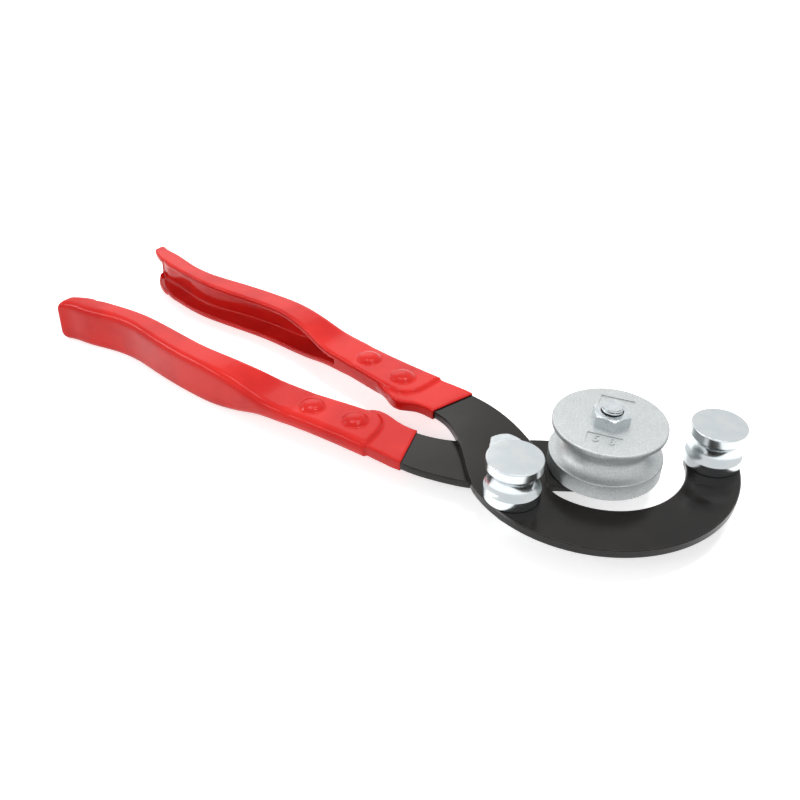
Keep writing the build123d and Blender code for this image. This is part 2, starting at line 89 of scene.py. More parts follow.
PIVOT = middle_of("pivot_washer")
SHEAVE = middle_of("sheave")
NEAR_ROLLER = middle_of("near_roller")
FAR_ROLLER = middle_of("far_roller")
ARM_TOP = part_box("upper_arm")[1].z
SHEAVE_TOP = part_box("sheave")[1].z
BODIES = frame["record"]["behaviour"]["bodies"]
BODY_OF = {node: body for body, nodes in BODIES.items() for node in nodes}

# The size figures stand in a recess of the sheave's face, turned and set out from its centre
RECESS_TURN = math.radians(15)
RECESS_FROM_CENTRE = mm(17.6)
RECESS_DEPTH = mm(0.5)
FIGURES = (("5", mm(-3.9)), ("8", mm(4.1)))
FIGURE_STEPS = 6

# The casting's parting line runs down the sheave's rims on one side of its axis
PARTING_TURN = math.radians(-74)
PARTING_FROM_AXIS = mm(29.6)
PARTING_FLAT_HALF = mm(0.1)
PARTING_FOOT_HALF = mm(0.45)

# Screw ends that stand out of their nuts, with depth and ridge as shares of the pitch
BOLT_RADIUS = mm(6.0)
STUD_RADIUS = mm(4.0)
THREAD_DEPTH_SHARE = 0.5
RIDGE_SHARE = 0.45
HELIX_STEPS = 40
RIDGE_SIDES = 3

# Profile of a roller and its stem, above and below the arm
ROLLER_PLAY = mm(0.1)
ROLLER_LOWER_RIM = mm(5.8)
ROLLER_UPPER_RIM = mm(18.4)
ROLLER_GROOVE_DEPTH = mm(3.2)
ROLLER_EDGE = mm(0.7)
STEM_RADIUS = mm(5.0)
TURNED_STEPS = 128
GROOVE_STEPS = 24
EDGE_STEPS = 6

# Triangles that turn by less than this lie in one flat
FLAT_DEGREES = 0.05

# Vinyl gathers as it drips: over the rivets, and in a bead along the tang's inner edge. The ends of
# the bead are measured from the pivot, along the tool and towards the handle's own side.
DOME_REACH = mm(7.3)
DOME_RISE = mm(3.0)
BEAD_ENDS = ((mm(-92.0), mm(11.9)), (mm(-80.5), mm(6.9)))
BEAD_HALVES = (mm(2.6), mm(1.5), mm(3.5))
BEAD_STEPS = 8
EGG_SEGMENTS = 48
SKIN_SOFTENING = {"factor": 0.5, "iterations": 7}

# Pimples differ in size, and are flatter than they are wide
SMALLEST_PIMPLE = 0.35
PIMPLE_HEIGHT_SHARE = 0.35
PLACE_SEED = 7
GROWTH_SEED = 3

# A handle's grip end is drawn in over this length. The corner where its slant meets the free edge
# of the flanges is rounded off in plan too, and is measured as the bead is.
END_ROUND = mm(4.5)
FREE_CORNER = (mm(-288.7), mm(27.2))
CORNER_REACH = mm(8.5)
CORNER_LIFT = mm(1.9)
CORNER_DEPTH = mm(9.0)

# How much a pattern adds to a finish's roughness
SCALE_ROUGHENS = 0.03
PEEL_ROUGHENS = 0.04
GRIT_ROUGHENS = 0.05
GRAIN_ROUGHENS = -0.08

# Distance between the rings of a wave texture at a scale of one
WAVE_LENGTH = math.pi / 10

# Cosine between the true and the rounded normal where an edge starts to wear and where it is bare
WEAR_STARTS = 0.985
WEAR_BARE = 0.88


# Sizes and colours that a user would change


def colour(name, description, default):
    """Colour setting, an sRGB hex value."""
    return bpy.props.StringProperty(name=name, description=description, default=default)


def length(name, description, millimetres):
    """Length setting, given in millimetres and kept in metres."""
    return bpy.props.FloatProperty(
        name=name, description=description, default=mm(millimetres), precision=5,
        unit="LENGTH", subtype="DISTANCE")


class BenderColours(bpy.types.PropertyGroup):
    """Colours of the finishes, as sRGB hex values."""

    plate: colour("Arm plate", "Black oxide plate", "#151312")
    plate_brown: colour("Arm plate, brown", "Warmer oxide", "#1e1b19")
    plate_worn: colour("Arm edges", "Edges rubbed pale", "#5d5956")
    skin: colour("Grip skin", "Dipped vinyl", "#da241d")
    skin_deep: colour("Grip skin, thick", "Thicker vinyl", "#ca1a15")
    skin_fleck: colour("Grip fleck", "Specks in the vinyl", "#7a0b0b")
    zinc: colour("Zinc plate", "Bright zinc plating", "#d0d4d5")
    zinc_blue: colour("Zinc plate, blue", "Blue passivated zinc", "#c9d0d4")
    zinc_rubbed: colour("Zinc edges", "Edges rubbed bright", "#e6e8ea")
    casting: colour("Casting", "Plated casting", "#ccd0d0")
    casting_dark: colour("Casting pits", "Pits of the casting", "#b0b4b4")
    steel: colour("Mill steel", "Plain pressed sheet", "#8d8e90")
    steel_dark: colour("Mill steel, drawn", "Drawn lines", "#77787a")
    paper: colour("Floor", "White paper under the tool", "#f4f4f4")


class BenderSizes(bpy.types.PropertyGroup):
    """Sizes of the pieces that are added to the solids."""

    bolt_pitch: length("Bolt pitch", "Pitch of the sheave bolt's thread", 1.5)
    stem_pitch: length("Stem pitch", "Pitch of the roller stems' threads", 1.25)
    figure_size: length("Figure size", "Size of the raised figures", 7.4)
    figure_weight: length("Figure weight", "Extra thickness of a figure's strokes", 0.16)
    figure_relief: length("Figure relief", "How far a figure stands up from its recess", 0.42)
    skin_cell: length("Skin cell", "Size of a face of the vinyl skin", 0.7)
    pimple_radius: length("Pimple radius", "Radius of the largest pimple in the vinyl", 0.34)
    pimples: bpy.props.FloatProperty(
        name="Pimples", description="Pimples on each square metre of vinyl", default=5200.0)


def colours():
    """The scene's colour settings."""
    return bpy.context.scene.bender_colours


def sizes():
    """The scene's size settings."""
    return bpy.context.scene.bender_sizes


# Nodes, colours and the patterns that several finishes share


def linear(hex_colour):
    """Linear colour of an sRGB hex value."""
    channels = [int(hex_colour[index:index + 2], 16) / 255 for index in (1, 3, 5)]
    straight = [c / 12.92 if c <= 0.04045 else ((c + 0.055) / 1.055) ** 2.4 for c in channels]
    return (*straight, 1.0)


def add(tree, kind, links=None, **settings):
    """Adds a node with its settings, and its inputs' values or links."""
    node = tree.nodes.new(kind)
    for name, value in settings.items():
        setattr(node, name, value)
    for name, value in (links or {}).items():
        if isinstance(value, bpy.types.NodeSocket):
            tree.links.new(value, node.inputs[name])
        else:
            node.inputs[name].default_value = value
    return node


def new_material(name):
    """Empty node material, its tree and its point in object coordinates."""
    material = bpy.data.materials.new(name)
    material.use_nodes = True
    material.node_tree.nodes.clear()
    place = add(material.node_tree, "ShaderNodeTexCoord")
    return material, material.node_tree, place.outputs["Object"]


def blotches(tree, point, size, low=0.0, high=1.0, detail=4.0, roughness=0.55):
    """Value between low and high in soft blotches about one size across."""
    spots = add(tree, "ShaderNodeTexNoise", {
        "Vector": point, "Scale": 1 / size, "Detail": detail, "Roughness": roughness})
    level = add(tree, "ShaderNodeMapRange", {
        "Value": spots.outputs["Fac"], "From Min": 0.35, "From Max": 0.65,
        "To Min": low, "To Max": high}, interpolation_type="SMOOTHSTEP")
    return level.outputs["Result"]


def edge_wear(tree, patches, radius):
    """High along edges, where the rounded normal leaves the true one, broken up by patches."""
    soft = add(tree, "ShaderNodeBevel", {"Radius": radius}, samples=6)
    true = add(tree, "ShaderNodeNewGeometry")
    dot = add(tree, "ShaderNodeVectorMath", {
        0: soft.outputs["Normal"], 1: true.outputs["Normal"]}, operation="DOT_PRODUCT")
    edge = add(tree, "ShaderNodeMapRange", {
        "Value": dot.outputs["Value"], "From Min": WEAR_STARTS, "From Max": WEAR_BARE})
    worn = add(tree, "ShaderNodeMath", {
        0: edge.outputs["Result"], 1: patches}, operation="MULTIPLY")
    return worn.outputs["Value"]


def finish(material, tree, tone, roughness, normal, **plain):
    """Closes a material, with plain values for other sockets of its shader."""
    links = {name.replace("_", " "): value for name, value in plain.items()}
    links.update({"Base Color": tone, "Roughness": roughness, "Normal": normal})
    shader = add(tree, "ShaderNodeBsdfPrincipled", links)
    output = add(tree, "ShaderNodeOutputMaterial", {"Surface": shader.outputs["BSDF"]})
    output.is_active_output = True
    return material


# Finishes


def black_oxide_plate():
    """Hot rolled steel plate, oil blackened: a warm satin black whose edges rub pale."""
    material, tree, point = new_material("black_oxide_plate")
    broad = blotches(tree, point, size=mm(38), detail=3.0)
    # Rolled scale is finer than this, and is drawn 1.1 mm across so that it shows
    scale = blotches(tree, point, size=mm(1.1), detail=5.0, roughness=0.65)
    patches = blotches(tree, point, size=mm(5), low=0.35)
    worn = edge_wear(tree, patches, radius=mm(0.5))
    oxide = add(tree, "ShaderNodeMix", {
        0: broad, 6: linear(colours().plate), 7: linear(colours().plate_brown)}, data_type="RGBA")
    tone = add(tree, "ShaderNodeMix", {
        0: worn, 6: oxide.outputs[2], 7: linear(colours().plate_worn)}, data_type="RGBA")
    satin = blotches(tree, point, size=mm(24), low=0.12, high=0.19)
    rough = add(tree, "ShaderNodeMath", {
        0: scale, 1: SCALE_ROUGHENS, 2: satin}, operation="MULTIPLY_ADD")
    scaled = add(tree, "ShaderNodeBump", {
        "Height": scale, "Distance": mm(0.004), "Strength": 0.2})
    rolled = add(tree, "ShaderNodeBump", {
        "Height": broad, "Distance": mm(0.2), "Strength": 0.12, "Normal": scaled.outputs["Normal"]})
    return finish(
        material, tree, tone.outputs[2], rough.outputs["Value"], rolled.outputs["Normal"],
        Specular_IOR_Level=0.26)


def dipped_vinyl():
    """Soft vinyl skin, hot dipped: glossy and thick, with slow waves and a faint orange peel."""
    material, tree, point = new_material("dipped_vinyl")
    broad = blotches(tree, point, size=mm(30), detail=2.0)
    waves = blotches(tree, point, size=mm(11), detail=2.0)
    peel = blotches(tree, point, size=mm(2.2), detail=3.0, roughness=0.5)
    # Pigment specks are about 0.3 mm across with a soft edge, and 4 to 5 mm apart
    cells = add(tree, "ShaderNodeTexVoronoi", {"Vector": point, "Scale": 1 / mm(4.5)}, feature="F1")
    speck = add(tree, "ShaderNodeMapRange", {
        "Value": cells.outputs["Distance"], "From Min": 0.075, "From Max": 0.03, "To Max": 0.5})
    red = add(tree, "ShaderNodeMix", {
        0: broad, 6: linear(colours().skin), 7: linear(colours().skin_deep)}, data_type="RGBA")
    tone = add(tree, "ShaderNodeMix", {
        0: speck.outputs["Result"], 6: red.outputs[2], 7: linear(colours().skin_fleck)},
        data_type="RGBA")
    gloss = blotches(tree, point, size=mm(26), low=0.10, high=0.16)
    rough = add(tree, "ShaderNodeMath", {
        0: peel, 1: PEEL_ROUGHENS, 2: gloss}, operation="MULTIPLY_ADD")
    peeled = add(tree, "ShaderNodeBump", {
        "Height": peel, "Distance": mm(0.02), "Strength": 0.15})
    waved = add(tree, "ShaderNodeBump", {
        "Height": waves, "Distance": mm(0.3), "Strength": 0.1, "Normal": peeled.outputs["Normal"]})
    return finish(
        material, tree, tone.outputs[2], rough.outputs["Value"], waved.outputs["Normal"],
        IOR=1.5, Specular_IOR_Level=0.23)


def turned_zinc(name, centre):
    """Turned mild steel, bright zinc plated: blue white, with fine rings left by the lathe tool."""
    material, tree, point = new_material(name)
    centred = add(tree, "ShaderNodeMapping", {
        "Vector": point, "Location": (-centre.x, -centre.y, 0)})
    axis = centred.outputs["Vector"]
    cloud = blotches(tree, axis, size=mm(9))
    grit = blotches(tree, axis, size=mm(0.7))
    # Tool marks are about 0.15 mm apart, and are drawn 0.5 mm apart so that they show
    rings = add(tree, "ShaderNodeTexWave", {
        "Vector": axis, "Scale": WAVE_LENGTH / mm(0.5), "Distortion": 0.4, "Detail": 2.0},
        wave_type="RINGS", rings_direction="Z")
    tone = add(tree, "ShaderNodeMix", {
        0: cloud, 6: linear(colours().zinc), 7: linear(colours().zinc_blue)}, data_type="RGBA")
    film = blotches(tree, axis, size=mm(14), low=0.17, high=0.2)
    rough = add(tree, "ShaderNodeMath", {
        0: grit, 1: GRIT_ROUGHENS, 2: film}, operation="MULTIPLY_ADD")
    ringed = add(tree, "ShaderNodeBump", {
        "Height": rings.outputs["Fac"], "Distance": mm(0.004), "Strength": 0.3})
    gritty = add(tree, "ShaderNodeBump", {
        "Height": grit, "Distance": mm(0.006), "Strength": 0.15,
        "Normal": ringed.outputs["Normal"]})
    return finish(
        material, tree, tone.outputs[2], rough.outputs["Value"], gritty.outputs["Normal"],
        Metallic=1.0)


def fastener_zinc():
    """Cold headed steel, zinc plated: small bright facets, a cloudy film and rubbed corners."""
    material, tree, point = new_material("fastener_zinc")
    cloud = blotches(tree, point, size=mm(3.5))
    # The plating's grit is finer than this, and is drawn 0.6 mm across so that it shows
    grit = blotches(tree, point, size=mm(0.6), detail=5.0, roughness=0.6)
    patches = blotches(tree, point, size=mm(2.5), low=0.4)
    rubbed = edge_wear(tree, patches, radius=mm(0.35))
    film = add(tree, "ShaderNodeMix", {
        0: cloud, 6: linear(colours().zinc), 7: linear(colours().zinc_blue)}, data_type="RGBA")
    tone = add(tree, "ShaderNodeMix", {
        0: rubbed, 6: film.outputs[2], 7: linear(colours().zinc_rubbed)}, data_type="RGBA")
    rough = blotches(tree, point, size=mm(4), low=0.24, high=0.36)
    gritty = add(tree, "ShaderNodeBump", {
        "Height": grit, "Distance": mm(0.02), "Strength": 0.5})
    return finish(
        material, tree, tone.outputs[2], rough, gritty.outputs["Normal"], Metallic=1.0)


def parting_line(tree, point):
    """High on the line that the two halves of a mould leave, down the rims of the sheave."""
    centred = add(tree, "ShaderNodeMapping", {
        "Vector": point, "Location": (-SHEAVE.x, -SHEAVE.y, 0)})
    unturned = add(tree, "ShaderNodeVectorRotate", {
        "Vector": centred.outputs["Vector"], "Angle": -PARTING_TURN}, rotation_type="Z_AXIS")
    across = add(tree, "ShaderNodeSeparateXYZ", {"Vector": unturned.outputs["Vector"]})
    off = add(tree, "ShaderNodeMath", {0: across.outputs["Y"]}, operation="ABSOLUTE")
    line = add(tree, "ShaderNodeMapRange", {
        "Value": off.outputs["Value"],
        "From Min": PARTING_FOOT_HALF, "From Max": PARTING_FLAT_HALF})
    rim = add(tree, "ShaderNodeMath", {
        0: across.outputs["X"], 1: PARTING_FROM_AXIS}, operation="GREATER_THAN")
    parting = add(tree, "ShaderNodeMath", {
        0: line.outputs["Result"], 1: rim.outputs["Value"]}, operation="MULTIPLY")
    return parting.outputs["Value"]


def plated_casting():
    """Sand cast iron sheave under dull zinc: a fine sugary grain, and a faint parting line."""
    material, tree, point = new_material("plated_casting")
    # Moulding sand leaves grains of about half a millimetre
    grain = blotches(tree, point, size=mm(0.55), roughness=0.6)
    lumps = blotches(tree, point, size=mm(5.0), roughness=0.6)
    bright = blotches(tree, point, size=mm(7), high=0.15)
    pitted = add(tree, "ShaderNodeMix", {
        0: grain, 6: linear(colours().casting_dark), 7: linear(colours().casting)},
        data_type="RGBA")
    tone = add(tree, "ShaderNodeMix", {
        0: bright, 6: pitted.outputs[2], 7: linear(colours().zinc)}, data_type="RGBA")
    dull = blotches(tree, point, size=mm(6), low=0.38, high=0.45)
    rough = add(tree, "ShaderNodeMath", {
        0: grain, 1: GRAIN_ROUGHENS, 2: dull}, operation="MULTIPLY_ADD")
    sugary = add(tree, "ShaderNodeBump", {
        "Height": grain, "Distance": mm(0.05), "Strength": 0.7})
    lumpy = add(tree, "ShaderNodeBump", {
        "Height": lumps, "Distance": mm(0.05), "Strength": 0.1, "Normal": sugary.outputs["Normal"]})
    parted = add(tree, "ShaderNodeBump", {
        "Height": parting_line(tree, point), "Distance": mm(0.25), "Strength": 0.8,
        "Normal": lumpy.outputs["Normal"]})
    return finish(
        material, tree, tone.outputs[2], rough.outputs["Value"], parted.outputs["Normal"],
        Metallic=0.8)


def mill_steel():
    """Pressed cold rolled sheet and plain rivets: grey, with lines drawn along the handle."""
    material, tree, point = new_material("mill_steel")
    stretched = add(tree, "ShaderNodeMapping", {"Vector": point, "Scale": (0.15, 1.0, 1.0)})
    drawn = stretched.outputs["Vector"]
    # The press leaves finer lines than this, and they are drawn 1.2 mm wide so that they show
    lines = blotches(tree, drawn, size=mm(1.2), detail=5.0, roughness=0.6)
    tone = add(tree, "ShaderNodeMix", {
        0: lines, 6: linear(colours().steel), 7: linear(colours().steel_dark)}, data_type="RGBA")
    rough = blotches(tree, drawn, size=mm(2.0), low=0.32, high=0.48)
    lined = add(tree, "ShaderNodeBump", {
        "Height": lines, "Distance": mm(0.02), "Strength": 0.5})
    return finish(
        material, tree, tone.outputs[2], rough, lined.outputs["Normal"], Metallic=1.0)


# Meshes


def settle(mesh, name, material, body, nodes=()):
    """Object at the origin from a finished mesh, riding on its body."""
    piece = bpy.data.objects.new(name, mesh)
    bpy.context.scene.collection.objects.link(piece)
    mesh.materials.clear()
    mesh.materials.append(material)
    if nodes:
        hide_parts(*nodes)
    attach(piece, body)
    return piece


def modified(mesh, *modifiers):
    """Plain mesh of what modifiers, each a kind with its settings, make of a mesh."""
    holder = bpy.data.objects.new("holder", mesh)
    bpy.context.scene.collection.objects.link(holder)
    for kind, settings in modifiers:
        modifier = holder.modifiers.new(kind.lower(), kind)
        for name, value in settings.items():
            setattr(modifier, name, value)
    evaluated = holder.evaluated_get(bpy.context.evaluated_depsgraph_get())
    made = bpy.data.meshes.new_from_object(evaluated)
    bpy.data.objects.remove(holder)
    return made


def welded_copy(node, reshape=None):
    """Copy of a node's mesh with its loose triangles joined."""
    mesh = frame["nodes"][node].data.copy()
    shape = bmesh.new()
    shape.from_mesh(mesh)
    bmesh.ops.remove_doubles(shape, verts=shape.verts, dist=mm(0.002))
    bmesh.ops.dissolve_degenerate(shape, edges=shape.edges, dist=mm(0.001))
    if reshape:
        reshape(shape)
    shape.to_mesh(mesh)
    shape.free()
    return mesh


def dress(node, material, sharp_degrees, mesh=None):
    """Copy of a node that stands for it in its finish, with sharp edges past an angle."""
    mesh = mesh or welded_copy(node)
    shape = bmesh.new()
    shape.from_mesh(mesh)
    bmesh.ops.dissolve_limit(
        shape, angle_limit=math.radians(FLAT_DEGREES), verts=shape.verts, edges=shape.edges)
    shape.to_mesh(mesh)
    shape.free()
    mesh.shade_smooth()
    mesh.set_sharp_from_angle(angle=math.radians(sharp_degrees))
    by_area = {"mode": "FACE_AREA", "weight": 90, "keep_sharp": True}
    mesh = modified(mesh, ("WEIGHTED_NORMAL", by_area))
    return settle(mesh, node + "_dressed", material, BODY_OF[node], [node])


def evaluated_mesh(source, tree, inputs, name):
    """Plain mesh of what a geometry node tree makes from an object."""
    modifier = source.modifiers.new(tree.name, "NODES")
    modifier.node_group = tree
    sockets = [item for item in tree.interface.items_tree if item.item_type == "SOCKET"]
    identifiers = {socket.name: socket.identifier for socket in sockets}
    for label, value in inputs.items():
        modifier[identifiers[label]] = value
    evaluated = source.evaluated_get(bpy.context.evaluated_depsgraph_get())
    mesh = bpy.data.meshes.new_from_object(evaluated)
    mesh.name = name
    source.modifiers.remove(modifier)
    return mesh


def node_group(name, inputs):
    """Empty geometry node tree with a geometry input, named inputs and its two ends."""
    tree = bpy.data.node_groups.new(name, "GeometryNodeTree")
    tree.interface.new_socket(name="Geometry", in_out="INPUT", socket_type="NodeSocketGeometry")
    for label, kind in inputs:
        tree.interface.new_socket(name=label, in_out="INPUT", socket_type=kind)
    tree.interface.new_socket(name="Geometry", in_out="OUTPUT", socket_type="NodeSocketGeometry")
    return tree, add(tree, "NodeGroupInput").outputs


def close_group(tree, geometry, material):
    """Ends a tree with plain geometry in one finish."""
    real = add(tree, "GeometryNodeRealizeInstances", {"Geometry": geometry})
    dressed = add(tree, "GeometryNodeSetMaterial", {
        "Geometry": real.outputs["Geometry"], "Material": material})
    add(tree, "NodeGroupOutput", {"Geometry": dressed.outputs["Geometry"]})
    return tree


def thread_tree(material):
    """Screw thread: a three sided ridge swept along a helix, one turn for each pitch."""
    lengths = ("Radius", "Pitch", "Length", "Ridge")
    tree, given = node_group("screw_thread", [(label, "NodeSocketFloat") for label in lengths])
    turns = add(tree, "ShaderNodeMath", {
        0: given["Length"], 1: given["Pitch"]}, operation="DIVIDE")
    centre = add(tree, "ShaderNodeMath", {
        0: given["Radius"], 1: given["Ridge"]}, operation="SUBTRACT")
    helix = add(tree, "GeometryNodeCurveSpiral", {
        "Resolution": HELIX_STEPS, "Rotations": turns.outputs["Value"], "Height": given["Length"],
        "Start Radius": centre.outputs["Value"], "End Radius": centre.outputs["Value"]})
    upright = add(tree, "GeometryNodeSetCurveNormal", {
        "Curve": helix.outputs["Curve"]}, mode="Z_UP")
    ridge = add(tree, "GeometryNodeCurvePrimitiveCircle", {
        "Resolution": RIDGE_SIDES, "Radius": given["Ridge"]}, mode="RADIUS")
    swept = add(tree, "GeometryNodeCurveToMesh", {
        "Curve": upright.outputs["Curve"], "Profile Curve": ridge.outputs["Curve"],
        "Fill Caps": True})
    return close_group(tree, swept.outputs["Mesh"], material)


def pimple_tree(material):
    """Pimples: flattened beads scattered over a skin, standing along its normals."""
    tree, given = node_group("vinyl_pimples", [
        ("Density", "NodeSocketFloat"), ("Radius", "NodeSocketFloat")])
    spread = add(tree, "GeometryNodeDistributePointsOnFaces", {
        "Mesh": given["Geometry"], "Density": given["Density"], "Seed": PLACE_SEED},
        distribute_method="RANDOM")
    bead = add(tree, "GeometryNodeMeshIcoSphere", {"Radius": given["Radius"], "Subdivisions": 2})
    growth = add(tree, "FunctionNodeRandomValue", {
        2: SMALLEST_PIMPLE, 3: 1.0, "Seed": GROWTH_SEED}, data_type="FLOAT")
    flat = add(tree, "ShaderNodeCombineXYZ", {"X": 1.0, "Y": 1.0, "Z": PIMPLE_HEIGHT_SHARE})
    shape = add(tree, "ShaderNodeVectorMath", {
        0: flat.outputs["Vector"], "Scale": growth.outputs[1]}, operation="SCALE")
    beads = add(tree, "GeometryNodeInstanceOnPoints", {
        "Points": spread.outputs["Points"], "Instance": bead.outputs["Mesh"],
        "Rotation": spread.outputs["Rotation"], "Scale": shape.outputs["Vector"]})
    return close_group(tree, beads.outputs["Instances"], material)


# Pieces


class BENDER_OT_arms(bpy.types.Operator):
    """Dresses both arm plates in black oxide."""

    bl_idname = "bender.arms"
    bl_label = "Arm plates"

    def execute(self, context):
        material = black_oxide_plate()
        for node in ("upper_arm", "lower_arm"):
            dress(node, material, sharp_degrees=32)
        return {"FINISHED"}


def egg(centre, halves):
    """Mesh of a closed egg, for the skin to flow over."""
    shape = bmesh.new()
    place = Matrix.Translation(centre) @ Matrix.Diagonal((*halves, 1))
    bmesh.ops.create_uvsphere(
        shape, u_segments=EGG_SEGMENTS, v_segments=EGG_SEGMENTS // 2, radius=1, matrix=place)
    mesh = bpy.data.meshes.new("egg")
    shape.to_mesh(mesh)
    shape.free()
    return mesh


def dripped_skin(node, side, plate_z):
    """The skin's solid with the vinyl that gathers on it, softened as one dipped coat."""
    eggs = []
    for place in ("front", "rear"):
        low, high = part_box(node.replace("grip", "rivet_" + place))
        rivet = (low + high) / 2
        for middle_z in (low.z + DOME_RISE / 2, high.z - DOME_RISE / 2):
            eggs.append(egg((rivet.x, rivet.y, middle_z), (DOME_REACH, DOME_REACH, DOME_RISE)))
    for step in range(BEAD_STEPS + 1):
        x, y = Vector(BEAD_ENDS[0]).lerp(Vector(BEAD_ENDS[1]), step / BEAD_STEPS)
        eggs.append(egg((PIVOT.x + x, PIVOT.y + side * y, plate_z), BEAD_HALVES))

    def gather(shape):
        for mesh in eggs:
            shape.from_mesh(mesh)

    cells = {"mode": "VOXEL", "voxel_size": sizes().skin_cell}
    soft = modified(welded_copy(node, gather), ("REMESH", cells), ("SMOOTH", SKIN_SOFTENING))
    soft.shade_smooth()
    return soft


def round_end(mesh, node, side):
    """Rounds a handle's grip end in plan and in height, and the corner at its free edge."""
    low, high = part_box(node)
    middle = (low + high) / 2
    web = high.y if side > 0 else low.y
    corner_x = PIVOT.x + FREE_CORNER[0]
    corner_y = PIVOT.y + side * FREE_CORNER[1]
    for vertex in mesh.vertices:
        near = 1 - abs(vertex.co.x - corner_x) / CORNER_REACH
        if near > 0:
            depth = max(side * (vertex.co.y - corner_y), 0) / CORNER_DEPTH
            vertex.co.y += side * CORNER_LIFT * near ** 2 * max(1 - depth, 0)
        share = 1 - (vertex.co.x - low.x) / END_ROUND
        if share > 0:
            inset = END_ROUND * (1 - math.sqrt(1 - min(share, 1) ** 2))
            vertex.co.z -= inset * (vertex.co.z - middle.z) / (high.z - middle.z)
            outward = 1 - min(abs(web - vertex.co.y) / (2 * END_ROUND), 1)
            vertex.co.y -= side * inset * outward


class BENDER_OT_handles(bpy.types.Operator):
    """Dresses the pressed channels, their rivets and the dipped skins, with the skins' pimples."""

    bl_idname = "bender.handles"
    bl_label = "Handles"

    def execute(self, context):
        vinyl = dipped_vinyl()
        steel = mill_steel()
        pimples = pimple_tree(vinyl)
        for name, side in (("upper", 1), ("lower", -1)):
            node = name + "_grip"
            soft = dripped_skin(node, side, middle_of(name + "_arm").z)
            round_end(soft, node, side)
            skin = settle(soft, node + "_dressed", vinyl, BODY_OF[node], [node])
            values = {"Density": sizes().pimples, "Radius": sizes().pimple_radius}
            beads = evaluated_mesh(skin, pimples, values, name + "_pimples")
            beads.shade_smooth()
            # Pimples under a handle are pressed flat, so that none reaches below the solids
            for vertex in beads.vertices:
                vertex.co.z = max(vertex.co.z, CAD_BOX[0].z)
            settle(beads, name + "_pimples", vinyl, BODY_OF[node])
            channel = dress(name + "_channel", steel, sharp_degrees=35)
            round_end(channel.data, node, side)
            for place in ("front", "rear"):
                dress(name + "_rivet_" + place, steel, sharp_degrees=35)
        return {"FINISHED"}


def cut_back_copy(node, end, root):
    """Copy of a screw's mesh whose bare end is cut back to the root of its thread."""
    low, high = end
    axis = middle_of(node).xy

    def cut_back(shape):
        for vertex in shape.verts:
            out = vertex.co.xy - axis
            if low < vertex.co.z < high and out.length > root:
                vertex.co.xy = axis + out.normalized() * root

    return welded_copy(node, cut_back)


def turned_mesh(name, axis, profile):
    """Mesh turned about an upright axis from a profile of radius and height, listed upwards."""
    shape = bmesh.new()
    points = [shape.verts.new((axis.x + radius, axis.y, height)) for radius, height in profile]
    edges = [shape.edges.new(pair) for pair in zip(points, points[1:])]
    bmesh.ops.spin(
        shape, geom=points + edges, cent=(axis.x, axis.y, 0), axis=(0, 0, 1), angle=math.tau,
        steps=TURNED_STEPS, use_merge=True, use_duplicate=False)
    bmesh.ops.remove_doubles(shape, verts=shape.verts, dist=mm(0.001))
    bmesh.ops.recalc_face_normals(shape, faces=shape.faces)
    mesh = bpy.data.meshes.new(name)
    shape.to_mesh(mesh)
    shape.free()
    return mesh


def bend(centre, radius, start_degrees, end_degrees, steps):
    """Points along a round stretch of a profile."""
    points = []
    for step in range(steps + 1):
        angle = math.radians(start_degrees + (end_degrees - start_degrees) * step / steps)
        points.append((centre[0] + radius * math.cos(angle), centre[1] + radius * math.sin(angle)))
    return points


def roller_profile(node, root):
    """Profile of a roller, from the cut back end of its stem up to the middle of its top."""
    low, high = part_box(node)
    reach = (high.x - low.x) / 2
    nut_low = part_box(node + "_nut")[0].z
    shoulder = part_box("upper_arm")[0].z - ROLLER_PLAY
    base = ARM_TOP + ROLLER_PLAY
    half = (ROLLER_UPPER_RIM - ROLLER_LOWER_RIM) / 2
    hollow = (half ** 2 + ROLLER_GROOVE_DEPTH ** 2) / (2 * ROLLER_GROOVE_DEPTH)
    sweep = math.degrees(math.asin(half / hollow))
    middle = (reach - ROLLER_GROOVE_DEPTH + hollow, base + ROLLER_LOWER_RIM + half)
    edge = ROLLER_EDGE
    points = [(0, low.z), (root - edge, low.z), (root, low.z + edge), (root, nut_low)]
    points += [(STUD_RADIUS, nut_low), (STUD_RADIUS, shoulder)]
    points += [(STEM_RADIUS, shoulder), (STEM_RADIUS, base)]
    points += bend((reach - edge / 2, base + edge / 2), edge / 2, -90, 0, EDGE_STEPS)
    points += bend(middle, hollow, 180 + sweep, 180 - sweep, GROOVE_STEPS)
    points += bend((reach - edge, high.z - edge), edge, 0, 90, EDGE_STEPS)
    return points + [(0, high.z)]


def wind_thread(node, material, end, pitch, radius):
    """Winds a helical thread on the bare end of a screw."""
    low, high = end
    axis = middle_of(node)
    ridge = pitch * RIDGE_SHARE
    holder = bpy.data.objects.new("holder", bpy.data.meshes.new("holder"))
    bpy.context.scene.collection.objects.link(holder)
    values = {"Radius": radius, "Pitch": pitch, "Length": high - low - 2 * ridge, "Ridge": ridge}
    mesh = evaluated_mesh(holder, thread_tree(material), values, node + "_thread")
    bpy.data.objects.remove(holder)
    mesh.transform(Matrix.Translation((axis.x, axis.y, low + ridge)))
    settle(mesh, node + "_thread", material, BODY_OF[node])


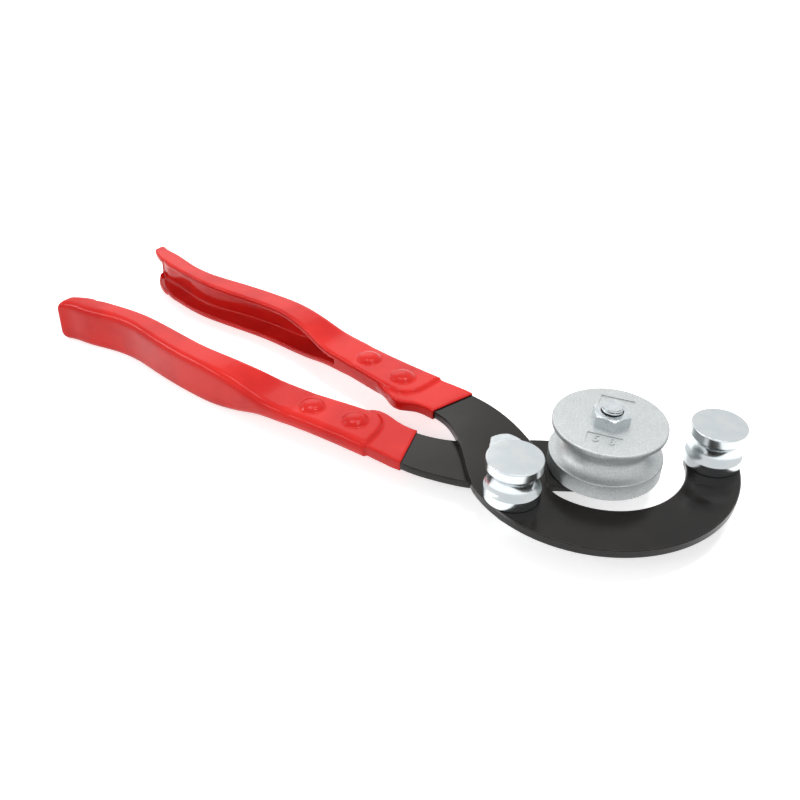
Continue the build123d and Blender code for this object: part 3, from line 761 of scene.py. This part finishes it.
class BENDER_OT_rollers(bpy.types.Operator):
    """Turns the grooved rollers, and threads the ends of their stems."""

    bl_idname = "bender.rollers"
    bl_label = "Rollers"

    def execute(self, context):
        pitch = sizes().stem_pitch
        for node, centre in (("near_roller", NEAR_ROLLER), ("far_roller", FAR_ROLLER)):
            material = turned_zinc("turned_zinc_" + node, centre)
            profile = roller_profile(node, STUD_RADIUS - pitch * THREAD_DEPTH_SHARE)
            roller = turned_mesh(node, centre, profile)
            dress(node, material, sharp_degrees=30, mesh=roller)
            end = (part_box(node)[0].z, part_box(node + "_nut")[0].z)
            wind_thread(node, material, end, pitch, STUD_RADIUS)
        return {"FINISHED"}


class BENDER_OT_sheave(bpy.types.Operator):
    """Dresses the cast sheave and raises the figures of the tube's size in its recess."""

    bl_idname = "bender.sheave"
    bl_label = "Sheave"

    def execute(self, context):
        material = plated_casting()
        dress("sheave", material, sharp_degrees=30)
        turn = Matrix.Rotation(RECESS_TURN, 4, "Z")
        floor = SHEAVE_TOP - RECESS_DEPTH
        for figure, along in FIGURES:
            text = bpy.data.curves.new("figure_" + figure, "FONT")
            text.body = figure
            text.size = sizes().figure_size
            text.offset = sizes().figure_weight
            text.extrude = sizes().figure_relief / 2
            text.align_x = "CENTER"
            text.align_y = "CENTER"
            text.resolution_u = FIGURE_STEPS
            holder = bpy.data.objects.new("figure_" + figure, text)
            context.scene.collection.objects.link(holder)
            evaluated = holder.evaluated_get(context.evaluated_depsgraph_get())
            mesh = bpy.data.meshes.new_from_object(evaluated)
            bpy.data.objects.remove(holder)
            place = Matrix.Translation((SHEAVE.x, SHEAVE.y, floor + sizes().figure_relief / 2))
            mesh.transform(place @ turn @ Matrix.Translation((along, -RECESS_FROM_CENTRE, 0)))
            settle(mesh, "size_figure_" + figure, material, BODY_OF["sheave"])
        return {"FINISHED"}


class BENDER_OT_fasteners(bpy.types.Operator):
    """Dresses the bolts, nuts and washers, and threads the sheave bolt's bare end."""

    bl_idname = "bender.fasteners"
    bl_label = "Fasteners"

    def execute(self, context):
        material = fastener_zinc()
        pitch = sizes().bolt_pitch
        end = (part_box("sheave_nut")[1].z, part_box("sheave_bolt")[1].z)
        root = BOLT_RADIUS - pitch * THREAD_DEPTH_SHARE
        bolt = cut_back_copy("sheave_bolt", end, root)
        dress("sheave_bolt", material, sharp_degrees=25, mesh=bolt)
        wind_thread("sheave_bolt", material, end, pitch, BOLT_RADIUS)
        nodes = ["pivot_bolt", "pivot_washer", "pivot_nut", "sheave_nut"]
        for roller in ("near_roller", "far_roller"):
            nodes += [roller + "_washer", roller + "_nut"]
        for node in nodes:
            dress(node, material, sharp_degrees=25)
        return {"FINISHED"}


# Studio

CAMERA_FROM_PIVOT = Vector((mm(195.6), mm(-375.0), mm(326.8)))
CAMERA_FORWARD = Vector((-0.4719, 0.6690, -0.5743))
CAMERA_ROLL = math.radians(1.2)
CAMERA_LENS = 45.0
CAMERA_SENSOR = 36.0
CAMERA_REACH = (mm(20), mm(20000))

FLOOR_HALF = mm(2500)
FLOOR_GLOW = 0.62
SURROUND_LIGHT = 0.42

# Lamps: place from the tool's centre, width and height in metres, then power in watts
PLACES_OVER = {
    "left": (-0.35, 0.15, 1.1),
    "over": (0.0, 0.4, 1.1),
    "right": (0.35, 0.1, 1.1),
}
BACK_LAMP = ((-0.95, 0.95, 0.85), 0.8, 0.6, 1.25)
FRONT_LAMP = ((-0.1, -1.0, 0.7), 0.7, 0.5, 3.2)
EDGE_LAMP = ((-0.95, -0.7, 0.85), 1.0, 0.14, 3.5)
OVER_LIGHT = (0.2, 0.2, 3.3)
OVER_GLOSS = (0.23, 0.23, 2.2)


def studio_camera():
    """Camera at the photograph's place, looking down at the tool."""
    data = bpy.data.cameras.new("camera")
    data.lens = CAMERA_LENS
    data.sensor_width = CAMERA_SENSOR
    data.clip_start, data.clip_end = CAMERA_REACH
    camera = bpy.data.objects.new("camera", data)
    bpy.context.scene.collection.objects.link(camera)
    forward = CAMERA_FORWARD.normalized()
    right = forward.cross(Vector((0, 0, 1))).normalized()
    up = right.cross(forward)
    rolled_right = right * math.cos(CAMERA_ROLL) + up * math.sin(CAMERA_ROLL)
    rolled_up = up * math.cos(CAMERA_ROLL) - right * math.sin(CAMERA_ROLL)
    place = Matrix((rolled_right, rolled_up, -forward)).transposed().to_4x4()
    place.translation = Vector((PIVOT.x, PIVOT.y, ARM_TOP)) + CAMERA_FROM_PIVOT
    camera.matrix_world = place
    bpy.context.scene.camera = camera
    return camera


def soft_lamp(name, centre, offset, width, height, power):
    """Area lamp set out from the tool's centre and aimed at it."""
    data = bpy.data.lights.new(name, "AREA")
    data.shape = "RECTANGLE"
    data.size = width
    data.size_y = height
    data.energy = power
    lamp = bpy.data.objects.new(name, data)
    bpy.context.scene.collection.objects.link(lamp)
    place = centre + Vector(offset)
    lamp.location = place
    lamp.rotation_euler = (centre - place).to_track_quat("-Z", "Y").to_euler()
    return lamp


def studio_lamps(centre):
    """Lamp behind the tool, lamps that only light it and lamps that only show in its gloss."""
    back = soft_lamp("lamp_back", centre, *BACK_LAMP)
    # These only light, so that bright metal doesn't mirror them as white
    lights = [
        soft_lamp("lamp_" + side, centre, offset, *OVER_LIGHT)
        for side, offset in PLACES_OVER.items()]
    lights.append(soft_lamp("lamp_front", centre, *FRONT_LAMP))
    # These only show as gloss: a line along rounded edges and three spots on a dome
    glosses = [soft_lamp("gloss_edge", centre, *EDGE_LAMP)]
    glosses += [
        soft_lamp("gloss_" + side, centre, offset, *OVER_GLOSS)
        for side, offset in PLACES_OVER.items()]
    for lamp in lights:
        lamp.visible_glossy = False
    for lamp in glosses:
        lamp.visible_diffuse = False
    return back, lights, glosses


def background_rays(tree):
    """One for rays that see the background, in gloss or glass too, and zero for light."""
    rays = add(tree, "ShaderNodeLightPath")
    seen = add(tree, "ShaderNodeMath", {
        0: rays.outputs["Is Camera Ray"], 1: rays.outputs["Is Glossy Ray"]}, operation="MAXIMUM")
    through = add(tree, "ShaderNodeMath", {
        0: seen.outputs["Value"], 1: rays.outputs["Is Transmission Ray"]}, operation="MAXIMUM")
    return through.outputs["Value"]


def studio_paper():
    """Matt white paper, lifted to white where it is seen, with the tool's shadow kept."""
    material, tree, _ = new_material("studio_paper")
    paper = add(tree, "ShaderNodeBsdfDiffuse", {
        "Color": linear(colours().paper), "Roughness": 0.6})
    glow = add(tree, "ShaderNodeEmission", {"Color": (1, 1, 1, 1), "Strength": FLOOR_GLOW})
    both = add(tree, "ShaderNodeAddShader", {0: paper.outputs["BSDF"], 1: glow.outputs["Emission"]})
    chosen = add(tree, "ShaderNodeMixShader", {
        0: background_rays(tree), 1: paper.outputs["BSDF"], 2: both.outputs["Shader"]})
    output = add(tree, "ShaderNodeOutputMaterial", {"Surface": chosen.outputs["Shader"]})
    output.is_active_output = True
    return material


def studio_floor(height):
    """Square of floor under the tool."""
    mesh = bpy.data.meshes.new("studio_floor")
    signs = ((-1, -1), (1, -1), (1, 1), (-1, 1))
    corners = [(x * FLOOR_HALF, y * FLOOR_HALF, height) for x, y in signs]
    mesh.from_pydata(corners, [], [(0, 1, 2, 3)])
    floor = bpy.data.objects.new("studio_floor", mesh)
    bpy.context.scene.collection.objects.link(floor)
    mesh.materials.append(studio_paper())
    return floor


def studio_world():
    """White surround: plain white where it is seen, and dimmer as a light."""
    world = bpy.data.worlds.new("studio")
    bpy.context.scene.world = world
    world.use_nodes = True
    tree = world.node_tree
    tree.nodes.clear()
    strength = add(tree, "ShaderNodeMapRange", {
        "Value": background_rays(tree), "To Min": SURROUND_LIGHT, "To Max": 1.0})
    ground = add(tree, "ShaderNodeBackground", {
        "Color": (1, 1, 1, 1), "Strength": strength.outputs["Result"]})
    output = add(tree, "ShaderNodeOutputWorld", {"Surface": ground.outputs["Background"]})
    output.is_active_output = True


class BENDER_OT_studio(bpy.types.Operator):
    """Sets up the pale floor, the soft lamps and the camera."""

    bl_idname = "bender.studio"
    bl_label = "Studio"

    def execute(self, context):
        low, high = CAD_BOX
        floor = studio_floor(low.z)
        back, lights, glosses = studio_lamps((low + high) / 2)
        camera = studio_camera()
        studio_world()
        context.scene.view_settings.view_transform = "Standard"
        return {"FINISHED"}


class BENDER_PT_panel(bpy.types.Panel):
    """Lists the bender's pieces and its settings."""

    bl_idname = "BENDER_PT_panel"
    bl_label = "Tube bender"
    bl_space_type = "VIEW_3D"
    bl_region_type = "UI"
    bl_category = "Tube bender"

    def draw(self, context):
        for operator in OPERATORS:
            self.layout.operator(operator.bl_idname)
        for settings in (context.scene.bender_sizes, context.scene.bender_colours):
            for name in settings.bl_rna.properties.keys():
                if name not in ("rna_type", "name"):
                    self.layout.prop(settings, name)


OPERATORS = (
    BENDER_OT_arms,
    BENDER_OT_handles,
    BENDER_OT_rollers,
    BENDER_OT_sheave,
    BENDER_OT_fasteners,
    BENDER_OT_studio,
)
CLASSES = (BenderColours, BenderSizes) + OPERATORS + (BENDER_PT_panel,)


def register():
    """Registers the classes and their settings."""
    for item in CLASSES:
        bpy.utils.register_class(item)
    bpy.types.Scene.bender_colours = bpy.props.PointerProperty(type=BenderColours)
    bpy.types.Scene.bender_sizes = bpy.props.PointerProperty(type=BenderSizes)


def unregister():
    """Takes the classes and their settings away again."""
    del bpy.types.Scene.bender_sizes
    del bpy.types.Scene.bender_colours
    for item in reversed(CLASSES):
        bpy.utils.unregister_class(item)


def main():
    """Dresses the tool and sets up its studio."""
    register()
    for name in ("arms", "handles", "rollers", "sheave", "fasteners", "studio"):
        getattr(bpy.ops.bender, name)()


if __name__ == "__main__":
    main()
